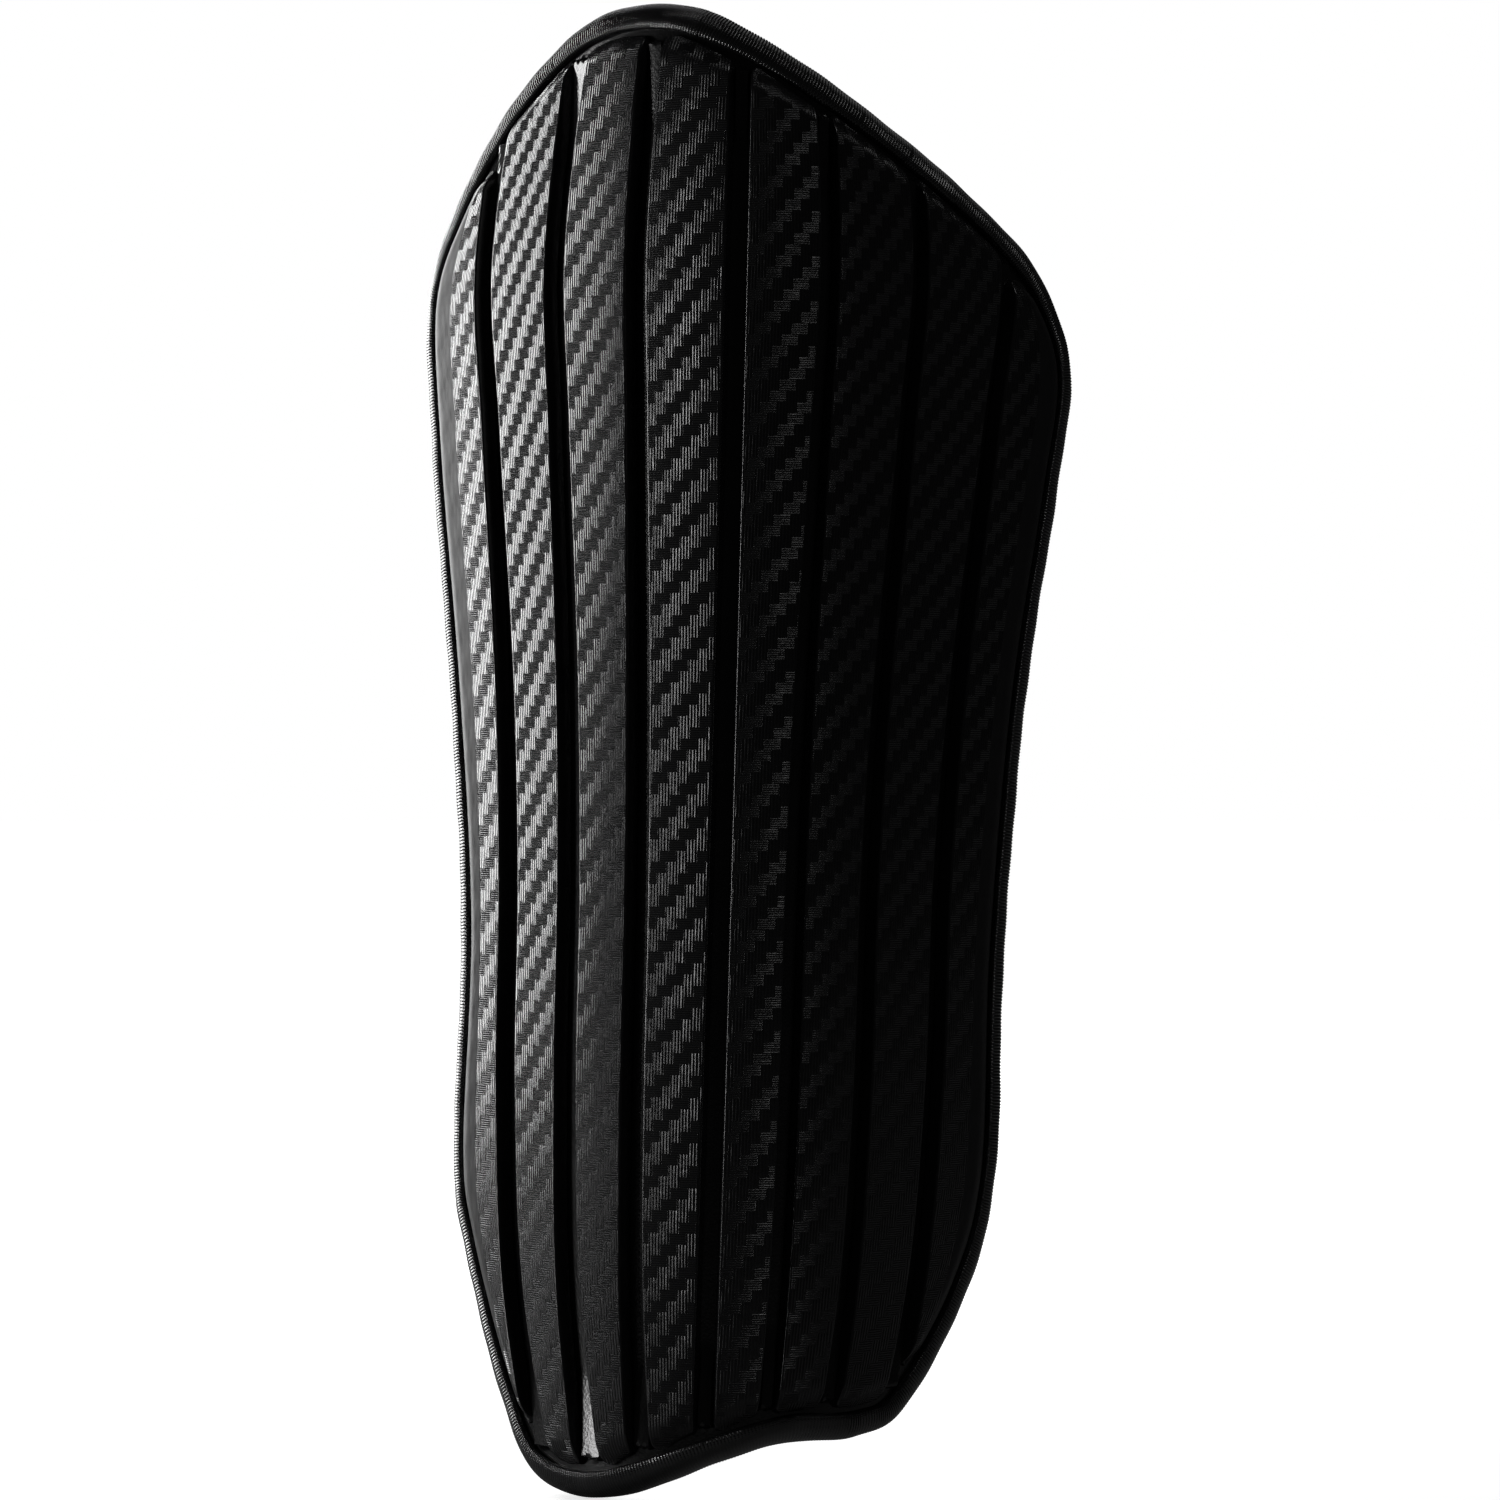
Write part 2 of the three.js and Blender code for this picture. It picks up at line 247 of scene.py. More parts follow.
def exit_distance(polygon, place, size):
    """How far each of several paths runs before it leaves the polygon. place(distances) gives (x, z)."""
    near, far = np.zeros(size), np.full(size, float(BEYOND_OUTLINE))
    for _ in range(SEARCH_STEPS):
        middle = (near + far) / 2
        inside = is_inside(polygon, *place(middle))
        near, far = np.where(inside, middle, near), np.where(inside, far, middle)
    return near


class Strip:
    """The ground between two lines that run along the guard, up to the polygon. A line is a function from z
    to x, and None stands for the polygon's own side."""

    def __init__(self, polygon, left, right):
        self.polygon, self.left, self.right = polygon, left, right
        self.is_outer = left is None or right is None
        if self.is_outer:
            self.inner = right if left is None else left
            self.low, self.high = self.ends(self.inner, 1)

    def ends(self, line, size):
        """The heights at which lines leave the polygon."""
        low = -exit_distance(self.polygon, lambda d: (line(-d), -d), size)
        high = exit_distance(self.polygon, lambda d: (line(d), d), size)
        return low, high

    def side_x(self, side, z):
        """The X of the polygon's own side, at several heights."""
        start = self.inner(z)
        return start + side * exit_distance(self.polygon, lambda d: (start + side * d, z), z.size)

    def place(self, across, along, tip=0.0):
        """X and Z on a grid: one column for each share across, one row for each share along. An outer strip
        comes to a point, so it stops short of both its tips by a share of its height."""
        if self.is_outer:
            rows = self.low + (self.high - self.low) * (tip + (1 - 2 * tip) * along)
            left = self.side_x(-1, rows) if self.left is None else self.left(rows)
            right = self.side_x(1, rows) if self.right is None else self.right(rows)
            z = np.repeat(rows[:, None], len(across), axis=1)
            return left[:, None] + (right - left)[:, None] * across, z
        low, high = self.ends(lambda z: self.left(z) + (self.right(z) - self.left(z)) * across, len(across))
        z = low + (high - low) * along[:, None]
        left, right = self.left(z), self.right(z)
        return left + (right - left) * across, z


# ---- Meshes ----

SHARP_ANGLE = math.radians(38)


def make_object(name, points, faces, uv, materials, face_materials=None):
    """A mesh object from points and uv in millimetres."""
    mesh = bpy.data.meshes.new(name)
    sizes = np.array([len(face) for face in faces], np.int32)
    corner = np.concatenate([np.asarray(face, np.int32) for face in faces])
    mesh.vertices.add(len(points))
    mesh.vertices.foreach_set("co", (np.asarray(points) * MM).astype(np.float32).ravel())
    mesh.loops.add(len(corner))
    mesh.loops.foreach_set("vertex_index", corner)
    mesh.polygons.add(len(sizes))
    mesh.polygons.foreach_set("loop_start", np.concatenate([[0], np.cumsum(sizes)[:-1]]).astype(np.int32))
    mesh.update(calc_edges=True)
    layer = mesh.uv_layers.new(name="surface_mm")
    layer.data.foreach_set("uv", np.asarray(uv, np.float32)[corner].ravel())
    for material in materials:
        mesh.materials.append(material)
    if face_materials is not None:
        mesh.polygons.foreach_set("material_index", np.asarray(face_materials, np.int32))
    mesh.validate()
    mesh.shade_smooth()
    mesh.set_sharp_from_angle(angle=SHARP_ANGLE)
    made = bpy.data.objects.new(name, mesh)
    bpy.context.scene.collection.objects.link(made)
    return made


def grid_faces(rows, columns, first=0, closed=False):
    """Quads over a grid of points numbered row by row. A closed grid joins its last column to its first."""
    r, c = np.meshgrid(np.arange(rows - 1), np.arange(columns if closed else columns - 1), indexing="ij")
    after = (c + 1) % columns
    quads = [r * columns + c, r * columns + after, (r + 1) * columns + after, (r + 1) * columns + c]
    return first + np.stack([q.ravel() for q in quads], axis=-1)


def slab(name, x, z, outer, inner, materials):
    """A closed sheet over a grid of places, between two heights."""
    rows, columns = x.shape
    count = rows * columns
    points = np.concatenate([surface_point(x, z, h).reshape(-1, 3) for h in (outer, inner)])
    place = np.stack([arc_from_crest(x, z), z], axis=-1).reshape(-1, 2)
    index = np.arange(count).reshape(rows, columns)
    rim = np.concatenate([index[0, :], index[1:, -1], index[-1, -2::-1], index[-2:0:-1, 0]])
    front = grid_faces(rows, columns)
    back = grid_faces(rows, columns, first=count)[:, ::-1]
    ahead = np.roll(rim, -1)
    side = np.stack([ahead, rim, rim + count, ahead + count], axis=-1)
    faces = np.concatenate([front, back, side])
    return make_object(name, points, faces, np.concatenate([place, place]), materials)


def smoothstep(value, start, end):
    """0 up to start, 1 from end on, and an S-shaped rise between them."""
    t = np.clip((value - start) / (end - start), 0, 1)
    return t * t * (3 - 2 * t)


# ---- Materials ----

# The embossed weave is a 2 x 2 twill, in millimetres. In each row a block of warp, this many columns wide,
# takes turns with a block of weft, and each row's blocks stand one column further on.
WARP_PITCH = 1.33
WEFT_PITCH = 1.65
WARP_SPAN = 2.25
TWILL_REPEAT = 4
WARP_FIBRES = 3
WEFT_FIBRES = 5

# The fibres wander sideways by up to this much, by a noise that is drawn out along them.
WARP_WANDER = 0.14
WEFT_WANDER = 0.12
NOISE_ALONG_FIBRES = 0.25
NOISE_ACROSS_FIBRES = 2.4

# The knit's columns and rows of loops, and the turns of yarn in the tape and the thread.
WALE_PITCH = 0.9
COURSE_PITCH = 0.62
LOOP_SLANT = 1.1
TAPE_YARN_PITCH = 0.3
TAPE_YARN_SLANT = 0.6
PLY_PITCH = 0.35
PLY_SLANT = 0.9

# How high the bumps of each material stand, in millimetres.
FIBRE_HEIGHT = 0.08
GRAIN_HEIGHT = 0.012
DRAG_HEIGHT = 0.05
CELL_HEIGHT = 0.12
KNIT_HEIGHT = 0.16
KNIT_FUZZ_HEIGHT = 0.05
TAPE_YARN_HEIGHT = 0.01
TAPE_FUZZ_HEIGHT = 0.012
PLY_HEIGHT = 0.05

# The darkest and the lightest colour of each material.
WEAVE_SHADES = (0.007, 0.007, 0.0075), (0.016, 0.016, 0.017)
WALL_SHADES = (0.008, 0.008, 0.0085), (0.014, 0.014, 0.015)
MARGIN_SHADES = (0.009, 0.009, 0.0095), (0.016, 0.016, 0.017)
RUBBER_SHADES = (0.004, 0.004, 0.004), (0.009, 0.009, 0.0095)
FOAM_SHADES = (0.012, 0.012, 0.013), (0.03, 0.03, 0.032)
KNIT_SHADES = (0.012, 0.0125, 0.014), (0.05, 0.051, 0.055)
TAPE_SHADES = (0.004, 0.004, 0.0045), (0.016, 0.016, 0.017)
THREAD_SHADES = (0.01, 0.01, 0.011), (0.05, 0.05, 0.053)


class Nodes:
    """Builds a material's node tree."""

    def __init__(self, name):
        self.material = bpy.data.materials.new(name)
        self.material.use_nodes = True
        self.tree = self.material.node_tree
        self.shader = self.tree.nodes["Principled BSDF"]

    def put(self, value, socket):
        """Links a value that is a socket, and sets one that is a number."""
        if isinstance(value, bpy.types.NodeSocket):
            self.tree.links.new(value, socket)
        else:
            socket.default_value = value

    def node(self, kind, settings=(), **inputs):
        """A node with its settings and inputs. An input's name has an underscore for each space."""
        made = self.tree.nodes.new(kind)
        for key, value in dict(settings).items():
            setattr(made, key, value)
        for key, value in inputs.items():
            self.put(value, made.inputs[key.replace("_", " ")])
        return made

    def math(self, operation, a, b=0.0, c=0.0):
        made = self.tree.nodes.new("ShaderNodeMath")
        made.operation = operation
        for value, socket in zip((a, b, c), made.inputs):
            self.put(value, socket)
        return made.outputs[0]

    def noise(self, vector, scale, detail=2.0, roughness=0.5):
        made = self.node("ShaderNodeTexNoise", Vector=vector, Scale=scale, Detail=detail, Roughness=roughness)
        return made.outputs["Fac"]

    def cells(self, vector, scale):
        """The distance from the middle of the nearest cell, for small round grains or bubbles."""
        return self.node("ShaderNodeTexVoronoi", Vector=vector, Scale=scale).outputs["Distance"]

    def spread(self, value, low, high):
        """Maps a value from 0..1 to low..high."""
        return self.math("MULTIPLY_ADD", value, high - low, low)

    def stretched(self, vector, along_u, along_v):
        """The vector scaled by one factor along u and another along v."""
        return self.node("ShaderNodeMapping", Vector=vector, Scale=(along_u, along_v, 1)).outputs[0]

    def mix(self, factor, a, b):
        made = self.node("ShaderNodeMix", {"data_type": "FLOAT"})
        for value, socket in zip((factor, a, b), (made.inputs[0], made.inputs[2], made.inputs[3])):
            self.put(value, socket)
        return made.outputs[0]

    def sum_of(self, a, a_height, b, b_height):
        """Two patterns added up, each scaled to its own height."""
        return self.math("ADD", self.math("MULTIPLY", a, a_height), self.math("MULTIPLY", b, b_height))

    def colour(self, factor, dark, light):
        """A colour between two, by a factor."""
        made = self.node("ShaderNodeMix", {"data_type": "RGBA"})
        self.put(factor, made.inputs[0])
        made.inputs[6].default_value = (*dark, 1)
        made.inputs[7].default_value = (*light, 1)
        return made.outputs[2]

    def surface_mm(self):
        """The piece's own flat coordinates in millimetres, as a vector, u and v."""
        made = self.node("ShaderNodeUVMap", {"uv_map": "surface_mm"})
        split = self.node("ShaderNodeSeparateXYZ", Vector=made.outputs[0])
        return made.outputs[0], split.outputs[0], split.outputs[1]

    def bump(self, height_mm):
        """A bump from a height in millimetres."""
        height = self.math("MULTIPLY", height_mm, MM)
        return self.node("ShaderNodeBump", Height=height, Distance=1.0, Strength=1.0).outputs[0]

    def wave(self, value, pitch):
        """A rounded ridge from 0 to 1 and back for each pitch."""
        turn = self.math("MULTIPLY", value, 2 * math.pi / pitch)
        return self.math("MULTIPLY_ADD", self.math("COSINE", turn), -0.5, 0.5)

    def finish(self, **inputs):
        """Sets the shader's inputs and returns the material."""
        for key, value in inputs.items():
            self.put(value, self.shader.inputs[key.replace("_", " ")])
        return self.material


def carbon_weave():
    """Black plastic with an embossed twill: bundles of fibres that run along the slat and across it."""
    nodes = Nodes("slat_carbon_weave")
    uv, u, v = nodes.surface_mm()
    row = nodes.math("FLOOR", nodes.math("DIVIDE", v, WEFT_PITCH))
    column = nodes.math("DIVIDE", u, WARP_PITCH)
    phase = nodes.math("FLOORED_MODULO", nodes.math("SUBTRACT", row, column), float(TWILL_REPEAT))
    is_warp = nodes.math("LESS_THAN", phase, WARP_SPAN)
    warp_wander = nodes.noise(nodes.stretched(uv, NOISE_ACROSS_FIBRES, NOISE_ALONG_FIBRES), 1.0)
    weft_wander = nodes.noise(nodes.stretched(uv, NOISE_ALONG_FIBRES, NOISE_ACROSS_FIBRES), 1.0)
    warp = nodes.wave(nodes.math("MULTIPLY_ADD", warp_wander, WARP_WANDER, u), WARP_PITCH / WARP_FIBRES)
    weft = nodes.wave(nodes.math("MULTIPLY_ADD", weft_wander, WEFT_WANDER, v), WEFT_PITCH / WEFT_FIBRES)
    fibres = nodes.mix(is_warp, weft, warp)
    grain = nodes.noise(uv, 6.0, 3.0)
    handling = nodes.noise(uv, 0.09, 4.0, 0.6)
    return nodes.finish(
        Base_Color=nodes.colour(nodes.math("MULTIPLY", fibres, 0.7), *WEAVE_SHADES),
        Roughness=nodes.math("ADD", nodes.spread(handling, 0.2, 0.28), nodes.math("MULTIPLY", grain, 0.04)),
        Specular_IOR_Level=0.5,
        Normal=nodes.bump(nodes.sum_of(fibres, FIBRE_HEIGHT, grain, GRAIN_HEIGHT)),
    )


def slat_wall():
    """The same plastic where the mould is polished: the slats' walls, edges and backs."""
    nodes = Nodes("slat_polished_wall")
    uv, _, _ = nodes.surface_mm()
    drag = nodes.noise(nodes.stretched(uv, 1.4, 0.12), 1.0, 3.0)
    return nodes.finish(
        Base_Color=nodes.colour(drag, *WALL_SHADES),
        Roughness=nodes.spread(drag, 0.13, 0.24),
        Normal=nodes.bump(nodes.math("MULTIPLY", drag, DRAG_HEIGHT)),
    )


def slat_margin():
    """The same plastic on the smooth border along the outer side of the outermost slats."""
    nodes = Nodes("slat_satin_margin")
    uv, _, _ = nodes.surface_mm()
    grain = nodes.noise(uv, 5.0, 4.0)
    cloud = nodes.noise(uv, 0.3, 3.0)
    return nodes.finish(
        Base_Color=nodes.colour(cloud, *MARGIN_SHADES),
        Roughness=nodes.spread(cloud, 0.48, 0.56),
        Specular_IOR_Level=0.35,
        Normal=nodes.bump(nodes.math("MULTIPLY", grain, GRAIN_HEIGHT)),
    )


def rubber():
    """Smooth black rubber with a low shine and a fine moulded grain."""
    nodes = Nodes("web_rubber_grain")
    uv, _, _ = nodes.surface_mm()
    cloud = nodes.noise(uv, 0.2, 3.0)
    return nodes.finish(
        Base_Color=nodes.colour(cloud, *RUBBER_SHADES),
        Roughness=nodes.spread(cloud, 0.16, 0.24),
        Normal=nodes.bump(nodes.math("MULTIPLY", nodes.cells(uv, 2.2), GRAIN_HEIGHT)),
    )


def foam():
    """Closed-cell foam: small round cells."""
    nodes = Nodes("foam_closed_cell")
    uv, _, _ = nodes.surface_mm()
    cells = nodes.cells(uv, 1.6)
    return nodes.finish(
        Base_Color=nodes.colour(cells, *FOAM_SHADES),
        Roughness=nodes.spread(cells, 0.85, 0.97),
        Normal=nodes.bump(nodes.math("MULTIPLY", cells, CELL_HEIGHT)),
    )


def knit():
    """A fine weft knit: columns of V-shaped loops."""
    nodes = Nodes("lining_weft_knit")
    uv, u, v = nodes.surface_mm()
    side = nodes.math("PINGPONG", nodes.math("DIVIDE", u, WALE_PITCH), 0.5)
    loops = nodes.wave(nodes.math("MULTIPLY_ADD", side, LOOP_SLANT * COURSE_PITCH, v), COURSE_PITCH)
    legs = nodes.wave(u, WALE_PITCH / 2)
    yarn = nodes.math("MULTIPLY", nodes.spread(loops, 0.4, 1.0), nodes.spread(legs, 0.3, 1.0))
    fuzz = nodes.noise(uv, 5.0, 4.0, 0.7)
    cloud = nodes.noise(uv, 0.12, 3.0)
    return nodes.finish(
        Base_Color=nodes.colour(nodes.sum_of(yarn, 0.6, cloud, 0.4), *KNIT_SHADES),
        Roughness=nodes.spread(fuzz, 0.8, 0.95),
        Sheen_Weight=0.25,
        Sheen_Roughness=0.5,
        Normal=nodes.bump(nodes.sum_of(yarn, KNIT_HEIGHT, fuzz, KNIT_FUZZ_HEIGHT)),
    )


def tape():
    """Black polyester binding: each rib is a bundle of fine shiny yarn."""
    nodes = Nodes("binding_ribbed_tape")
    uv, u, v = nodes.surface_mm()
    yarn = nodes.wave(nodes.math("ADD", v, nodes.math("MULTIPLY", u, TAPE_YARN_SLANT)), TAPE_YARN_PITCH)
    fuzz = nodes.noise(uv, 4.0, 4.0, 0.7)
    cloud = nodes.noise(uv, 0.15, 3.0)
    return nodes.finish(
        Base_Color=nodes.colour(nodes.math("MULTIPLY", cloud, yarn), *TAPE_SHADES),
        Roughness=nodes.spread(fuzz, 0.16, 0.3),
        Specular_IOR_Level=1.0,
        Sheen_Weight=0.05,
        Sheen_Roughness=0.4,
        Normal=nodes.bump(nodes.sum_of(yarn, TAPE_YARN_HEIGHT, fuzz, TAPE_FUZZ_HEIGHT)),
    )


def thread():
    """Bonded sewing thread: plies twisted round it."""
    nodes = Nodes("thread_twisted")
    _, u, v = nodes.surface_mm()
    plies = nodes.wave(nodes.math("ADD", u, nodes.math("MULTIPLY", v, PLY_SLANT)), PLY_PITCH)
    return nodes.finish(
        Base_Color=nodes.colour(plies, *THREAD_SHADES),
        Roughness=nodes.spread(plies, 0.65, 0.45),
        Sheen_Weight=0.15,
        Normal=nodes.bump(nodes.math("MULTIPLY", plies, PLY_HEIGHT)),
    )


WEAVE, WALL, MARGIN = carbon_weave(), slat_wall(), slat_margin()
RUBBER, FOAM, KNIT, TAPE, THREAD = rubber(), foam(), knit(), tape(), thread()

# ---- Panels and joints ----

joints = {joint["name"]: joint for joint in frame["joints"]}
flexes = [joints[f"groove_{i + 1}_flex"] for i in range(len(GROOVES))]
bodies = frame["record"]["behaviour"]["bodies"]
body_of_slat = {node: body for body, nodes in bodies.items() for node in nodes}
PANELS = [body_of_slat[f"slat_{i + 1}"] for i in range(len(GROOVES) + 1)]

# A width across a groove, in metres; bend_at_groove sizes a step across the groove by half of it.
BEND_WIDTH = 0.006


def bend_at_groove(piece, i):
    """Works out groove i's axis and a step across it, half BEND_WIDTH long, which nothing uses, and bakes the
    piece's transform into its mesh.
    """
    axis = Vector(flexes[i]["axis"]).normalized()
    before = Vector(flexes[max(i - 1, 0)]["pos_m"])
    after = Vector(flexes[min(i + 1, len(flexes) - 1)]["pos_m"])
    across = after - before
    across = (across - across.dot(axis) * axis).normalized() * (BEND_WIDTH / 2)
    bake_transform(piece)


# ---- The slats ----

# Heights of a slat's back and face, and the shape of its walls and edges.
SLAT_BASE = 0.2
SLAT_TOP = LAYER_GAP + SLAT_THICKNESS
WALL_LEAN = 0.35
EDGE_RADIUS = 0.3
EDGE_STEPS = 3
FACE_COLUMNS = 33
BACK_COLUMNS = 8
ROW_STEP = WEFT_PITCH / 4

# Where a slat is narrow, its edges shrink until this many of them would fit side by side.
EDGES_ACROSS = 2.6

# The relief of the weave. Its blocks have rounded borders, and the weft's rise to this share of the warp's.
WEAVE_RELIEF = 0.045
BLOCK_BORDER = 0.3
WEFT_CROWN = 0.6

# The slats' ends, and the outer sides of the outermost slats, round down over this length to this share of
# their thickness. The power makes the fall slow at first.
END_ROUNDING = 3.4
END_LIP = 0.22
END_FALL = 1.8
END_ROWS = 12
CORNER_RADIUS = 1.1

# On an outermost slat, the border with no weave takes up this share of the width, and each end stops this
# share of the length short of the tip that its ground comes to.
MARGIN_SHARE = 0.45
TIP_SHARE = 0.015

# A section's stations run from the left foot up the wall, over the rounded edge, across the face, down the
# right side, and back behind.
EDGE_TURN = np.linspace(0, np.pi / 2, EDGE_STEPS + 1)
EDGE_IN = WALL_LEAN + EDGE_RADIUS * (1 - np.cos(EDGE_TURN))
EDGE_DROP = EDGE_RADIUS * (1 - np.sin(EDGE_TURN))
FACE_SHARES = np.linspace(0, 1, FACE_COLUMNS)[1:-1]
BACK_SHARES = np.linspace(1, 0, BACK_COLUMNS)[1:-1]
ON_BACK, ON_EDGE, ON_FACE = range(3)
STATION_PART = np.repeat(
    [ON_BACK, ON_EDGE, ON_FACE, ON_EDGE, ON_BACK],
    [1, len(EDGE_IN), len(FACE_SHARES), len(EDGE_IN), 1 + len(BACK_SHARES)],
)
STATION_DROP = np.zeros(len(STATION_PART))
STATION_DROP[STATION_PART == ON_EDGE] = [*EDGE_DROP, *EDGE_DROP[::-1]]


def groove_edge(i, side):
    """The edge of groove i on one side, -1 or 1, as a function from z to x."""
    share, width = GROOVES[i]

    def edge(z):
        middle = groove_x(share, z)
        return middle + side * width / 2 * across_surface(middle, z)

    return edge


def twill_crown(u, v):
    """How far the embossed weave stands out, from 0 to 1, in flat blocks with rounded borders."""
    phase = np.mod(np.floor(v / WEFT_PITCH) - u / WARP_PITCH, TWILL_REPEAT)
    side = WARP_PITCH * np.minimum(np.abs(phase - WARP_SPAN), np.minimum(phase, TWILL_REPEAT - phase))
    level = np.mod(v / WEFT_PITCH, 1)
    row_edge = WEFT_PITCH * np.minimum(level, 1 - level)
    warp = smoothstep(side, 0, BLOCK_BORDER)
    weft = WEFT_CROWN * warp * smoothstep(row_edge, 0, BLOCK_BORDER)
    return np.where(phase < WARP_SPAN, warp, weft)


def end_shares(length):
    """Shares along a slat: close together at its rounded ends, even between them."""
    near_end = END_ROUNDING * (1 - np.cos(np.linspace(0, np.pi / 2, END_ROWS)))
    count = int((length - 2 * END_ROUNDING) / ROW_STEP)
    middle = np.linspace(END_ROUNDING, length - END_ROUNDING, count)
    return np.concatenate([near_end[:-1], middle, (length - near_end)[-2::-1]]) / length


def corner_inset(end_distance, width):
    """How far a slat's sides draw in near its ends, which rounds its corners."""
    into_corner = np.clip(CORNER_RADIUS - end_distance, 0, CORNER_RADIUS)
    return np.minimum(CORNER_RADIUS - np.sqrt(CORNER_RADIUS**2 - into_corner**2), width / 3)


def slat_stations(width, side_in):
    """The stations of each section, as distances from the slat's left edge."""
    shrink = np.minimum(1, (width - 2 * side_in) / (EDGES_ACROSS * EDGE_IN[-1]))[:, None]
    left_foot = side_in[:, None]
    right_foot = (width - side_in)[:, None]
    left_edge = left_foot + shrink * EDGE_IN
    right_edge = right_foot - shrink * EDGE_IN[::-1]
    face_start, face_end = left_edge[:, -1:], right_edge[:, :1]
    face = face_start + (face_end - face_start) * FACE_SHARES
    behind = left_foot + (right_foot - left_foot) * BACK_SHARES
    return np.concatenate([left_foot, left_edge, face, right_edge, right_foot, behind], axis=1)


def slat_heights(rounded, sunk):
    """The height of each station, for how far it is rounded down and how deep the weave lies there."""
    full = SLAT_TOP - STATION_DROP - np.where(STATION_PART == ON_FACE, sunk, 0)
    share_left = END_LIP + (1 - END_LIP) * (1 - rounded**END_FALL)
    height = SLAT_BASE + (full - SLAT_BASE) * share_left
    return np.where(STATION_PART == ON_BACK, SLAT_BASE, height)


def slat_face_materials(from_outside, is_outer, rows):
    """Each quad's material: 0 for the weave, 1 for the wall and 2 for the margin."""
    on_face = (STATION_PART == ON_FACE) | (np.roll(STATION_PART, -1) == ON_FACE)
    kind = np.where(on_face, 0, 1)
    if is_outer:
        kind[on_face & (from_outside < MARGIN_SHARE)] = 2
    return np.tile(kind, rows - 1)


def make_slat(i):
    """Slat i: a closed tube of cross-sections that runs along the guard, with a cap at each end."""
    is_first, is_last = i == 0, i == len(GROOVES)
    left = None if is_first else groove_edge(i - 1, 1)
    right = None if is_last else groove_edge(i, -1)
    strip = Strip(slat_polygon, left, right)
    tip = TIP_SHARE if strip.is_outer else 0.0
    length = float(np.ptp(strip.place(np.array([0.5]), np.array([0.0, 1.0]), tip)[1]))
    along = end_shares(length)

    sides_x, sides_z = strip.place(np.array([0.0, 1.0]), along, tip)
    sides = surface_point(sides_x, sides_z, 0)
    width = np.linalg.norm(sides[:, 1] - sides[:, 0], axis=-1)
    end_distance = np.minimum(along, 1 - along) * length
    distance = slat_stations(width, corner_inset(end_distance, width))

    across = distance / width[:, None]
    nominal = np.clip(across[len(along) // 2], 0, 1)
    if strip.is_outer:
        z = np.repeat(sides_z[:, :1], across.shape[1], axis=1)
        x = sides_x[:, :1] + (sides_x[:, 1:] - sides_x[:, :1]) * across
    else:
        z = strip.place(nominal, along)[1]
        x = left(z) + (right(z) - left(z)) * across

    outer_side = np.full_like(distance, np.inf)
    if is_first:
        outer_side = distance
    if is_last:
        outer_side = width[:, None] - distance
    near_end = np.clip(1 - end_distance[:, None] / END_ROUNDING, 0, 1)
    near_side = np.clip(1 - outer_side / END_ROUNDING, 0, 1)
    rounded = np.minimum(np.hypot(near_end, near_side), 1)
    u = distance - width[:, None] / 2
    sunk = WEAVE_RELIEF * (1 - twill_crown(u, z)) * (1 - rounded)
    points = surface_point(x, z, slat_heights(rounded, sunk)).reshape(-1, 3)

    rows, columns = x.shape
    quads = grid_faces(rows, columns, closed=True).tolist()
    caps = [list(range(columns))[::-1], list(range((rows - 1) * columns, rows * columns))]
    from_outside = nominal if is_first else 1 - nominal
    kinds = [*slat_face_materials(from_outside, strip.is_outer, rows), 1, 1]
    uv = np.stack([u, z], axis=-1).reshape(-1, 2)
    slat = make_object(f"slat_{i + 1}_moulded", points, [*quads, *caps], uv, [WEAVE, WALL, MARGIN], kinds)
    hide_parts(f"slat_{i + 1}")
    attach(slat, PANELS[i])


slat_polygon = inset_polygon(SLAT_INSET)
for i in range(len(PANELS)):
    make_slat(i)

# ---- The layers behind the slats ----

# How far apart the points of each layer's mesh stand, and how far its first row is from the end.
LINING_STEP = 0.45
FOAM_STEP = 1.2
WEB_COLUMN_STEP = 0.3
WEB_ROW_STEP = 1.4
WEB_END_STEP = 0.35
FIRST_ROW = 0.3
LEAST_COLUMNS = 8

# A groove's floor runs out upwards at both of its ends, and stops short of the slats' rounded ends.
RUN_OUT_LENGTH = 12.5
RUN_OUT_RISE = 1.25
RUN_OUT_STOP = 1.2
RUN_OUT_STEP = 0.5
RUN_OUT_SIDE_IN = 0.15
RUN_OUT_SIDE_OUT = 0.1

# The foam has a channel along each groove and swells a little between them.
CHANNEL_DEPTH = 0.8
CHANNEL_HALF_WIDTH = 1.7
SWELL = 0.25

# The lining's dimples stand in staggered rows, and fade out towards the edge over these shares of the way.
DIMPLE_PITCH = 2.4
DIMPLE_ROW_PITCH = 0.87
DIMPLE_DEPTH = 0.22
DIMPLE_RADIUS = 0.75
DIMPLE_FLOOR = 0.3
DIMPLE_FADE = (0.93, 0.97)

layer_polygon = inset_polygon(LAYER_INSET)
polygon_angle = np.arctan2(layer_polygon[:, 1], layer_polygon[:, 0])
by_angle = np.argsort(polygon_angle)
polygon_angle, polygon_radius = polygon_angle[by_angle], np.hypot(*layer_polygon[by_angle].T)


def ring_share(x, z):
    """The share of the way from the middle of the guard out to the layers' edge."""
    return np.hypot(x, z) / np.interp(np.arctan2(z, x), polygon_angle, polygon_radius, period=2 * math.pi)


def channel(x, z):
    """1 along the grooves and 0 between them."""
    here = arc_from_crest(x, z)
    lines = [arc_from_crest(groove_x(share, z), z) for share, _ in GROOVES]
    return sum(np.exp(-(((here - line) / CHANNEL_HALF_WIDTH) ** 2)) for line in lines)


